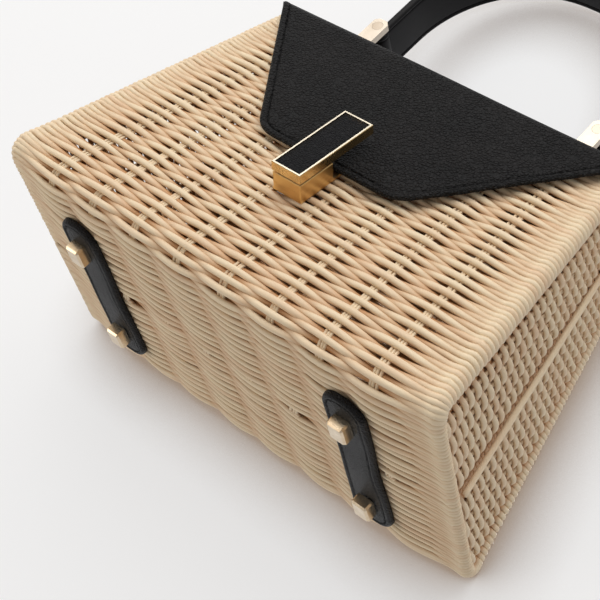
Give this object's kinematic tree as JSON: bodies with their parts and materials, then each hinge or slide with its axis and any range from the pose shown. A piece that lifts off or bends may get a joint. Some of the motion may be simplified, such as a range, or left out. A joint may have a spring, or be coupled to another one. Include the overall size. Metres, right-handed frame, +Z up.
{
  "type": "basket box bag",
  "caption": "Woven wicker box bag with a folded leather flap, a turning bar clasp, an arched leather top handle and studded leather base straps.",
  "frame": {"origin": "middle of the whole bag's box seen from above, at the level of the feet's lower faces", "axes": "+X to the bag's right seen from the front, -Y out of the front panel that carries the clasp, +Z up"},
  "size_m": [0.2782, 0.161, 0.3185],
  "materials": {
    "wicker": "peeled natural willow cane, dull satin",
    "cane_rod": "peeled round cane, dull satin",
    "black_leather": "fine pebble grain, satin",
    "lining": "smooth lining hide, matt",
    "handle_leather": "fine grain with piped edges, satin",
    "strap_leather": "smooth padded hide with painted edge",
    "inlay_leather": "fine grain, matt",
    "gold_metal": "polished gold plate with soft brushed sides",
    "pale_gold": "satin champagne gold plate",
    "inner_steel": "plain zinc"
  },
  "bodies": {
    "bag": {"basket_front": "wicker", "basket_back": "wicker", "rim_hoop": "wicker", "side_rod_left": "cane_rod", "side_rod_right": "cane_rod", "lid_leather": "black_leather", "lid_lining": "lining", "clasp_base_plate": "gold_metal", "clasp_block": "gold_metal", "clasp_inner_plate": "inner_steel", "clasp_screw_lower": "inner_steel", "clasp_screw_upper": "inner_steel", "handle_band": "handle_leather", "handle_link_left": "pale_gold", "handle_pin_left": "pale_gold", "link_plate_left": "inner_steel", "link_screws_left": "inner_steel", "base_strap_left": "strap_leather", "foot_front_left": "gold_metal", "foot_screw_front_left": "inner_steel", "foot_washer_front_left": "inner_steel", "foot_back_left": "gold_metal", "foot_screw_back_left": "inner_steel", "foot_washer_back_left": "inner_steel", "handle_link_right": "pale_gold", "handle_pin_right": "pale_gold", "link_plate_right": "inner_steel", "link_screws_right": "inner_steel", "base_strap_right": "strap_leather", "foot_front_right": "gold_metal", "foot_screw_front_right": "inner_steel", "foot_washer_front_right": "inner_steel", "foot_back_right": "gold_metal", "foot_screw_back_right": "inner_steel", "foot_washer_back_right": "inner_steel"},
    "clasp": {"clasp_bar": "gold_metal", "clasp_inlay": "inlay_leather", "clasp_pivot": "gold_metal"}
  },
  "joints": [
    {"name": "clasp_turn", "type": "hinge", "parent": "bag", "child": "clasp", "pos_m": [0, -0.07269, 0.08706], "axis": [0, -0.9773, 0.2118], "range_deg": [0, 90]}
  ]
}
